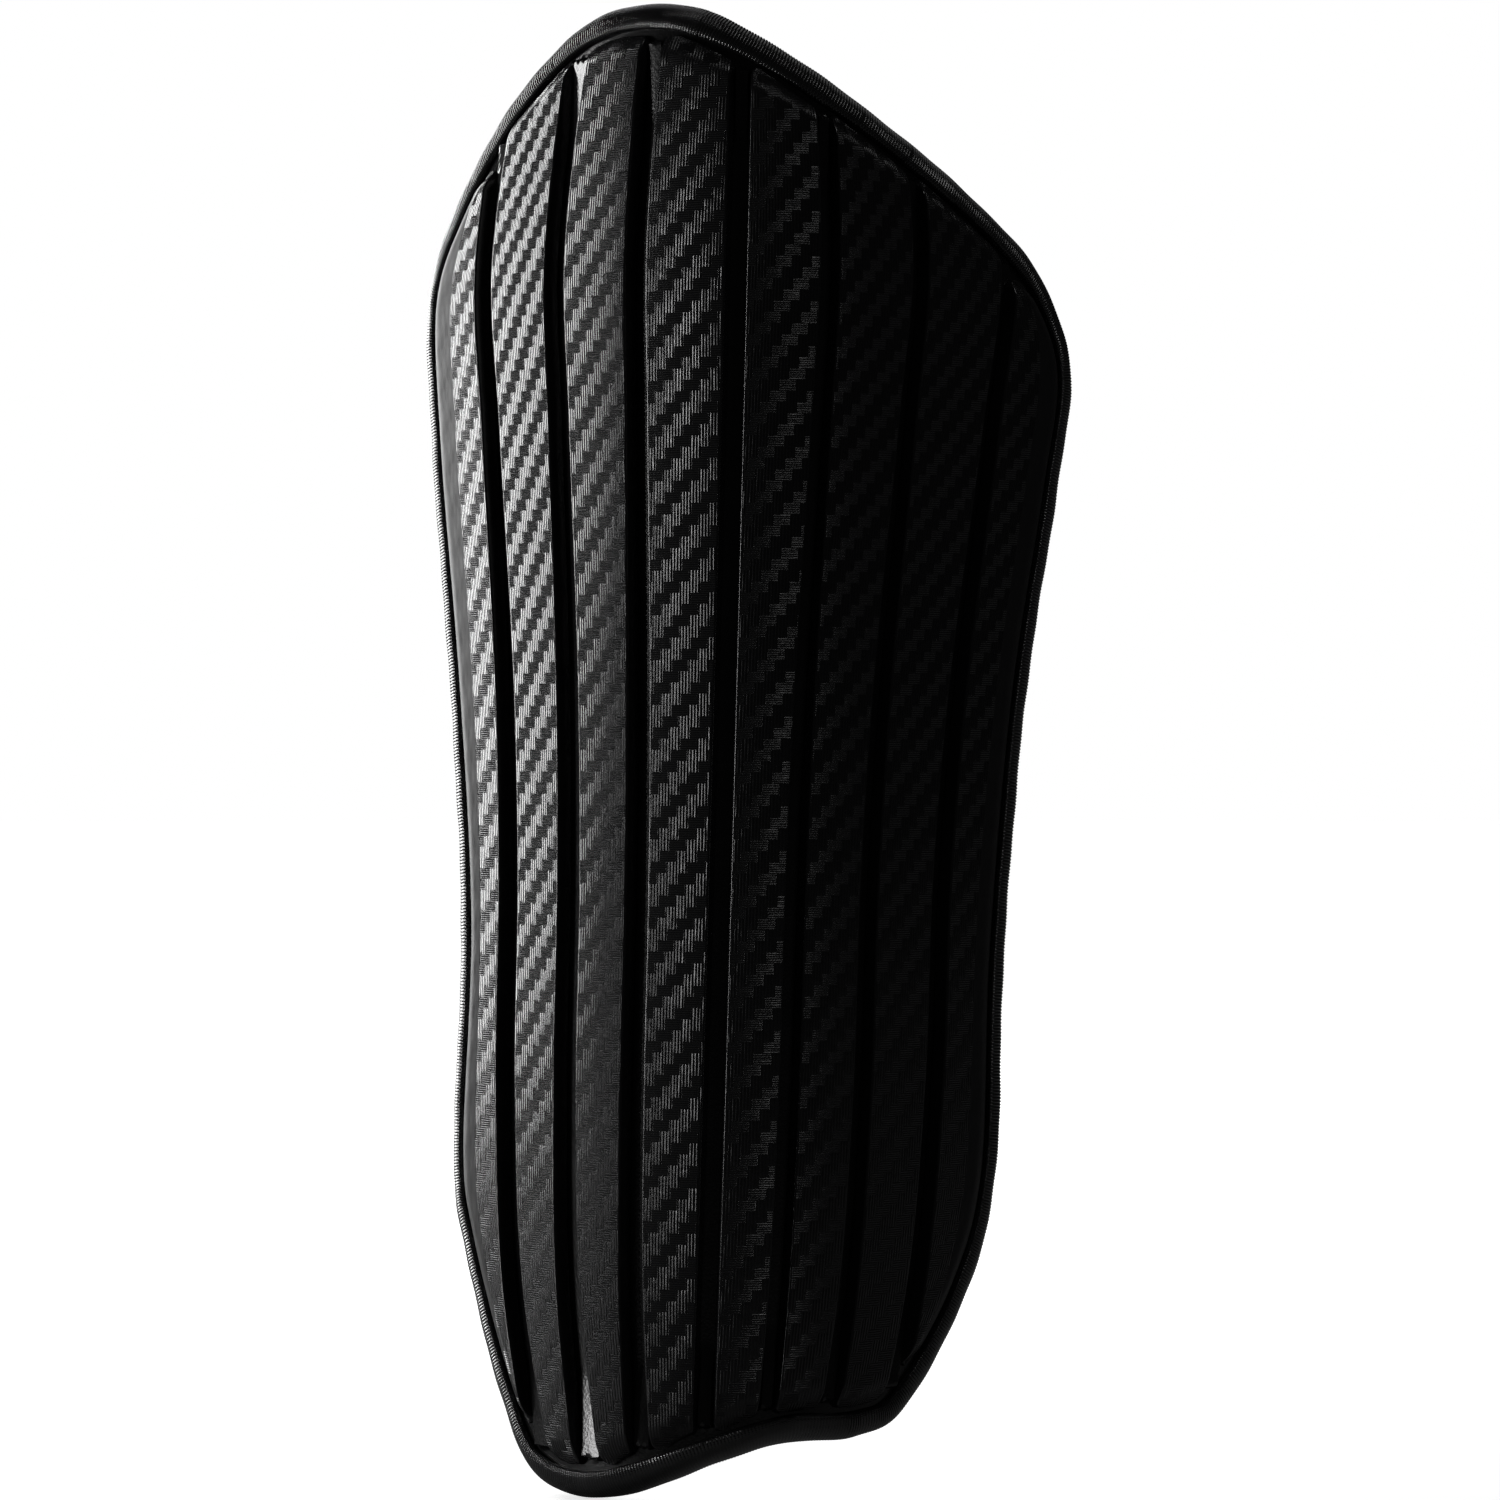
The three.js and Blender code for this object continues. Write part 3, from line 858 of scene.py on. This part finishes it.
def dimples(x, z):
    """Small round dips in staggered rows, from 0 to 1."""
    u = arc_from_crest(x, z) / DIMPLE_PITCH
    v = z / (DIMPLE_PITCH * DIMPLE_ROW_PITCH)
    row = np.round(v)
    off_u = np.mod(u - 0.5 * np.mod(row, 2) + 0.5, 1) - 0.5
    distance = DIMPLE_PITCH * np.hypot(off_u, DIMPLE_ROW_PITCH * (v - row))
    return 1 - smoothstep(distance, DIMPLE_FLOOR * DIMPLE_RADIUS, DIMPLE_RADIUS)


def foam_back(x, z):
    """The height of the foam's inner face: full in the middle, skived towards the edge, with a channel along
    each groove."""
    skive = smoothstep(ring_share(x, z), SKIVE_START, 1)
    thickness = FOAM_THICKNESS + (FOAM_EDGE_THICKNESS - FOAM_THICKNESS) * skive
    along_groove = channel(x, z)
    between_grooves = 1 - np.minimum(along_groove, 1)
    shaped = (CHANNEL_DEPTH * along_groove - SWELL * between_grooves) * (1 - skive)
    return -WEB_THICKNESS - LAYER_GAP - thickness + shaped


def run_out(i, x, z):
    """How far groove i's floor rises above the web."""
    share, width = GROOVES[i]
    aside = np.abs(arc_from_crest(x, z) - arc_from_crest(groove_x(share, z), z))
    in_groove = 1 - smoothstep(aside, width / 2 - RUN_OUT_SIDE_IN, width / 2 + RUN_OUT_SIDE_OUT)
    low, high = groove_ends[i]
    end_distance = np.minimum(z - low, high - z)
    rise = RUN_OUT_RISE * np.clip(1 - end_distance / RUN_OUT_LENGTH, 0, 1)
    return rise * in_groove * smoothstep(end_distance, RUN_OUT_STOP - RUN_OUT_STEP, RUN_OUT_STOP)


# The soft layers are cut along the middle of each slat, so that each piece covers one groove.
CUTS = [(GROOVES[i][0] + GROOVES[i + 1][0]) / 2 for i in range(len(GROOVES) - 1)]


def cut_line(i):
    """The line along the middle of slat i + 2, as a function from z to x, or None beyond the outermost."""
    if not 0 <= i < len(CUTS):
        return None
    return lambda z: groove_x(CUTS[i], z)


def layer_grid(i, column_step, row_step, end_step):
    """X and Z over the ground of groove i. The rows lie closer together near its ends."""
    strip = Strip(layer_polygon, cut_line(i - 1), cut_line(i))
    ends_x, ends_z = strip.place(np.array([0.0, 1.0]), np.array([0.0, 0.5, 1.0]))
    columns = max(LEAST_COLUMNS, int(np.ptp(arc_from_crest(ends_x[1], ends_z[1])) / column_step))
    length = np.ptp(ends_z[:, 0])
    near_end = np.arange(FIRST_ROW, RUN_OUT_LENGTH, end_step)
    middle = np.arange(RUN_OUT_LENGTH, length - RUN_OUT_LENGTH, row_step)
    along = np.concatenate([near_end, middle, length - near_end[::-1]]) / length
    return strip.place(np.linspace(0, 1, columns), along)


def grid_area(points):
    """The area of a grid of points, cell by cell."""
    corner = points[:-1, :-1]
    cells = np.cross(points[1:, :-1] - corner, points[:-1, 1:] - corner)
    return float(np.linalg.norm(cells, axis=-1).sum())


def make_layers(i):
    """The web, foam and lining over groove i."""
    x, z = layer_grid(i, WEB_COLUMN_STEP, WEB_ROW_STEP, WEB_END_STEP)
    web = slab(f"flex_web_{i + 1}", x, z, run_out(i, x, z), -WEB_THICKNESS, [RUBBER])
    x, z = layer_grid(i, FOAM_STEP, FOAM_STEP, FOAM_STEP)
    cushion = slab(f"foam_backing_{i + 1}", x, z, -WEB_THICKNESS - LAYER_GAP, foam_back(x, z), [FOAM])
    x, z = layer_grid(i, LINING_STEP, LINING_STEP, LINING_STEP)
    outer = foam_back(x, z) - LAYER_GAP / 2
    fade = 1 - smoothstep(ring_share(x, z), *DIMPLE_FADE)
    inner = outer - LINING_THICKNESS + DIMPLE_DEPTH * dimples(x, z) * fade
    cloth = slab(f"inner_lining_{i + 1}", x, z, outer, inner, [KNIT])
    flat_width = float(np.ptp(arc_from_crest(x, z), axis=1).max())
    flat_length = float(np.ptp(z))
    area = min(grid_area(surface_point(x, z, outer)), flat_width * flat_length)
    for piece, node, finish in (
        (web, "flex_web", "web_rubber"),
        (cushion, "foam_backing", "eva_foam"),
        (cloth, "inner_lining", "lining_knit"),
    ):
        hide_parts(node)
        bend_at_groove(piece, i)


groove_ends = []
for share, _ in GROOVES:
    ground = Strip(slat_polygon, None, lambda z: groove_x(share, z))
    groove_ends.append((float(ground.low[0]), float(ground.high[0])))
for i in range(len(GROOVES)):
    make_layers(i)

# ---- The binding and its stitches ----

# The tape's ribs stand across it.
RIB_PITCH = 0.5
RIB_STEPS = 4
RIB_HEIGHT = 0.22
ROLL_STEPS = 18
FLANGE_STEPS = 6
LEAST_STEPS = 8

# How the tape's two cut edges are rounded, as (inset from the edge, drop from its face).
FRONT_EDGE = [(0, 0.4), (0.25, 0.08)]
BACK_EDGE = (0.2, 0.3)

# The tape swells and shrinks a little along its way, by (height, length, phase).
TAPE_SWELLS = [(0.05, 23, 0), (0.04, 9.1, 1)]
CROSSING_STEP = 0.05

# A stitch is a short arch of thread with blunt ends that sink into the tape.
STITCH_LENGTH = 2.6
STITCH_GAP = 0.5
STITCH_RADIUS = 0.24
STITCH_SINK = 0.12
STITCH_SIDES = 8
STITCH_SLICES = 7
STITCH_TAPER = 0.93


def tape_section():
    """The tape's section as (inset, height), outside first, from the front edge over the roll to the back
    edge, then inside back again. Also whether each point is outside."""
    radius = (FRONT_OF_TAPE - BACK_OF_TAPE) / 2
    middle = (FRONT_OF_TAPE + BACK_OF_TAPE) / 2
    turn = np.linspace(np.pi / 2, 3 * np.pi / 2, ROLL_STEPS)
    roll = np.stack([radius + radius * np.cos(turn), middle + radius * np.sin(turn)], axis=-1)
    front = [(FRONT_TAPE_WIDTH, LAYER_GAP)]
    front += [(FRONT_TAPE_WIDTH - inset, FRONT_OF_TAPE - drop) for inset, drop in FRONT_EDGE]
    flange = np.linspace(radius, BACK_TAPE_WIDTH - BACK_EDGE[0], FLANGE_STEPS)[1:]
    back = [(inset, BACK_OF_TAPE) for inset in flange]
    back += [(BACK_TAPE_WIDTH, BACK_OF_TAPE + BACK_EDGE[1])]
    inside = [
        (BACK_TAPE_WIDTH, BACK_OF_TAPE + TAPE_THICKNESS),
        (radius, BACK_OF_TAPE + TAPE_THICKNESS),
        (TAPE_CORE_INSET, BACK_OF_TAPE + 2 * TAPE_THICKNESS),
        (TAPE_CORE_INSET, LAYER_GAP - TAPE_THICKNESS),
        (radius, LAYER_GAP),
    ]
    section = np.array([*front, *roll, *back, *inside])
    is_outside = np.zeros(len(section), bool)
    is_outside[1 : len(front) + len(roll) + len(back)] = True
    return section, is_outside


def outward_ways(section):
    """The direction out of the section at each of its points."""
    ways = np.roll(section, -1, 0) - np.roll(section, 1, 0)
    outward = np.stack([ways[:, 1], -ways[:, 0]], axis=-1)
    outward /= np.linalg.norm(outward, axis=-1, keepdims=True)
    points_in = ((section - section.mean(axis=0)) * outward).sum(axis=-1) < 0
    return outward * np.where(points_in, -1, 1)[:, None]


def outline_crossings():
    """Distances round the outline at which it crosses each cut line, as (top, bottom) for each cut."""
    distance = np.arange(0, OUTLINE_LENGTH, CROSSING_STEP)
    x, z = inset_place(distance, FRONT_TAPE_WIDTH / 2)
    found = []
    for share in CUTS:
        beyond = x > groove_x(share, z)
        crossing = distance[np.nonzero(beyond != np.roll(beyond, 1))[0]]
        heights = inset_place(crossing, FRONT_TAPE_WIDTH / 2)[1]
        found.append((crossing[np.argmax(heights)], crossing[np.argmin(heights)]))
    return found


def outline_stretches():
    """For each groove, the stretches of the outline that belong to it, as (start, end) distances."""
    crossings = outline_crossings()
    tops, bottoms = [c[0] for c in crossings], [c[1] for c in crossings]
    stretches = [[(bottoms[0], tops[0])]]
    for i in range(1, len(CUTS)):
        stretches.append([(tops[i - 1], tops[i]), (bottoms[i], bottoms[i - 1])])
    stretches.append([(tops[-1], bottoms[-1])])
    return [[(a, b if b > a else b + OUTLINE_LENGTH) for a, b in pair] for pair in stretches]


class Tubes:
    """Closed tubes that are gathered into one mesh, each with a cap at both of its ends."""

    def __init__(self):
        self.points, self.faces, self.uv, self.count = [], [], [], 0

    def add(self, points, uv):
        """Adds a tube from a grid of points, one row for each section."""
        rows, columns = points.shape[:2]
        first, last = self.count, self.count + (rows - 1) * columns
        self.faces += grid_faces(rows, columns, first=first, closed=True)[:, ::-1].tolist()
        self.faces.append(list(range(first, first + columns)))
        self.faces.append(list(range(last, last + columns))[::-1])
        self.points.append(points.reshape(-1, 3))
        self.uv.append(uv.reshape(-1, 2))
        self.count += rows * columns

    def finish(self, name, material):
        return make_object(name, np.concatenate(self.points), self.faces, np.concatenate(self.uv), [material])


def make_binding(i, stretches):
    """The tape round the edge beside groove i: its section swept along the outline, with ribs across it."""
    section, is_outside = tape_section()
    outward = outward_ways(section)
    steps_round = np.linalg.norm(np.diff(section, axis=0), axis=-1)
    round_section = np.concatenate([[0], np.cumsum(steps_round)])
    tubes = Tubes()
    for start, end in stretches:
        steps = max(LEAST_STEPS, int(round((end - start) / (RIB_PITCH / RIB_STEPS))))
        distance = np.linspace(start, end, steps + 1)
        rib = RIB_HEIGHT * np.sqrt(np.abs(np.sin(np.pi * distance / RIB_PITCH)))
        swell = sum(high * np.sin(2 * np.pi * distance / long + phase) for high, long, phase in TAPE_SWELLS)
        lift = (rib + swell - RIB_HEIGHT)[:, None] * is_outside
        inset = section[:, 0] + lift * outward[:, 0]
        height = section[:, 1] + lift * outward[:, 1]
        distance, across = np.broadcast_arrays(distance[:, None], round_section)
        x, z = inset_place(distance, inset)
        tubes.add(surface_point(x, z, height), np.stack([distance, across], axis=-1))
    tape_piece = tubes.finish(f"edge_binding_{i + 1}", TAPE)
    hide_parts("edge_binding")
    bend_at_groove(tape_piece, i)


def make_stitches(i, stretches):
    """The lockstitches on the back of the tape beside groove i, each a short arched piece of thread."""
    turn = np.linspace(0, 2 * np.pi, STITCH_SIDES, endpoint=False)
    t = np.linspace(-1, 1, STITCH_SLICES)
    girth = (STITCH_RADIUS * np.sqrt(1 - (STITCH_TAPER * t) ** 4))[:, None]
    arch = (BACK_OF_TAPE - STITCH_RADIUS / 2 + (STITCH_SINK + STITCH_RADIUS) * t**4)[:, None]
    inset = THREAD_INSET + girth * np.cos(turn)
    height = arch + girth * np.sin(turn)
    tubes = Tubes()
    for start, end in stretches:
        count = max(1, int(round((end - start) / (STITCH_LENGTH + STITCH_GAP))))
        pitch = (end - start) / count
        for k in range(count):
            distance = start + (k + 0.5) * pitch + t * (pitch - STITCH_GAP) / 2
            distance, girth_place = np.broadcast_arrays(distance[:, None], turn * STITCH_RADIUS)
            x, z = inset_place(distance, inset)
            tubes.add(surface_point(x, z, height), np.stack([distance, girth_place], axis=-1))
    stitches = tubes.finish(f"binding_thread_{i + 1}", THREAD)
    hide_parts("binding_thread")
    bend_at_groove(stitches, i)


for i, stretches in enumerate(outline_stretches()):
    make_binding(i, stretches)
    make_stitches(i, stretches)

# ---- The studio, in metres ----

FLOOR_RADIUS = 6.0
FLOOR_SIDES = 96
FLOOR_GAP = 0.0002
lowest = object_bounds()[0].z

# To the camera the floor glows this much within the first distance from its middle, and fully beyond the
# second.
GLOW_UNDER_GUARD = 0.7
GLOW_START = 0.1
GLOW_END = 0.5
FLOOR_DARK = (0.2, 0.2, 0.2)
FLOOR_PALE = (0.84, 0.84, 0.84)

# How bright the world is to everything but the camera.
AMBIENT = 0.012

# The camera stands a little to the guard's right and far enough off for the frame to be filled.
CAMERA_YAW = math.radians(4.5)
CAMERA_DISTANCE = 0.61315
CAMERA_TARGET = (0.0037, -0.0062, 0)
CAMERA_LENS_MM = 100
CAMERA_SENSOR_MM = 36

# Soft boxes: (name, where it stands, the point it faces, its size, its power in watts). The two keys light
# the weave from the side, where the raised ends of groove 2 mirror them to the camera.
LIGHTS = [
    ("key_low", (-0.74, -0.28, 0), (0, 0, -0.05), (0.12, 0.12), 0.9),
    ("key_high", (-0.79, -0.04, 0.13), (0, 0, 0.05), (0.12, 0.12), 1.1),
    ("rear_left", (-0.6, 0.5, 0.15), (0, 0, 0), (0.24, 0.5), 4.8),
    ("fill_right", (0.45, -0.45, 0.8), (0, 0, 0), (0.2, 0.2), 0.6),
    ("top_soft", (0.1, 0.5, 1.1), (0, 0.15, -0.1), (1, 0.6), 0.9),
    ("back_soft", (-0.35, 0.9, 0.35), (0, 0, 0), (0.6, 0.6), 3),
]


def floor_material():
    """A pale floor that glows white to the camera, and is dark to everything else."""
    nodes = Nodes("studio_floor")
    place = nodes.node("ShaderNodeTexCoord").outputs["Object"]
    split = nodes.node("ShaderNodeSeparateXYZ", Vector=place)
    squares = [nodes.math("POWER", split.outputs[k], 2.0) for k in range(2)]
    away = nodes.math("SQRT", nodes.math("ADD", *squares))
    far = nodes.node(
        "ShaderNodeMapRange",
        {"interpolation_type": "SMOOTHSTEP"},
        Value=away,
        From_Min=GLOW_START,
        From_Max=GLOW_END,
        To_Min=GLOW_UNDER_GUARD,
    )
    grain = nodes.noise(place, 40.0, 3.0)
    seen = nodes.node("ShaderNodeLightPath").outputs["Is Camera Ray"]
    pale = nodes.math("MULTIPLY", nodes.spread(grain, 0.95, 1.0), seen)
    return nodes.finish(
        Base_Color=nodes.colour(pale, FLOOR_DARK, FLOOR_PALE),
        Roughness=0.85,
        Specular_IOR_Level=0.1,
        Emission_Color=(1, 1, 1, 1),
        Emission_Strength=nodes.math("MULTIPLY", far.outputs[0], seen),
    )


def make_floor():
    """A round floor just under the guard."""
    turn = np.linspace(0, 2 * np.pi, FLOOR_SIDES, endpoint=False)
    rim = FLOOR_RADIUS / MM * np.stack([np.cos(turn), np.sin(turn), 0 * turn], axis=-1)
    points = np.concatenate([[[0, 0, 0]], rim])
    faces = [[0, k + 1, (k + 1) % FLOOR_SIDES + 1] for k in range(FLOOR_SIDES)]
    floor = make_object("studio_floor", points, faces, points[:, :2], [floor_material()])
    floor.location = (0, 0, lowest - FLOOR_GAP)


def make_light(name, place, aim, size, watts):
    data = bpy.data.lights.new(name, "AREA")
    data.shape = "RECTANGLE"
    data.size, data.size_y = size
    data.energy = watts
    light = bpy.data.objects.new(name, data)
    light.location = place
    light.rotation_euler = (Vector(aim) - Vector(place)).to_track_quat("-Z", "Y").to_euler()
    bpy.context.scene.collection.objects.link(light)


def make_world():
    """White to the eye, and a faint grey light to everything else."""
    world = bpy.data.worlds.new("studio_air")
    world.use_nodes = True
    tree = world.node_tree
    seen = tree.nodes.new("ShaderNodeLightPath").outputs["Is Camera Ray"]
    level = tree.nodes.new("ShaderNodeMath")
    level.operation = "MULTIPLY_ADD"
    level.inputs[1].default_value = 1 - AMBIENT
    level.inputs[2].default_value = AMBIENT
    tree.links.new(seen, level.inputs[0])
    tree.nodes["Background"].inputs["Color"].default_value = (1, 1, 1, 1)
    tree.links.new(level.outputs[0], tree.nodes["Background"].inputs["Strength"])
    bpy.context.scene.world = world


def make_camera():
    ahead = Vector((-math.sin(CAMERA_YAW), math.cos(CAMERA_YAW), 0))
    data = bpy.data.cameras.new("camera")
    data.lens = CAMERA_LENS_MM
    data.sensor_width = CAMERA_SENSOR_MM
    camera = bpy.data.objects.new("camera", data)
    camera.location = Vector(CAMERA_TARGET) - CAMERA_DISTANCE * ahead
    camera.rotation_euler = ahead.to_track_quat("-Z", "Y").to_euler()
    bpy.context.scene.collection.objects.link(camera)
    bpy.context.scene.camera = camera


make_floor()
make_world()
make_camera()
for light in LIGHTS:
    make_light(*light)
bpy.context.scene.view_settings.view_transform = "Standard"
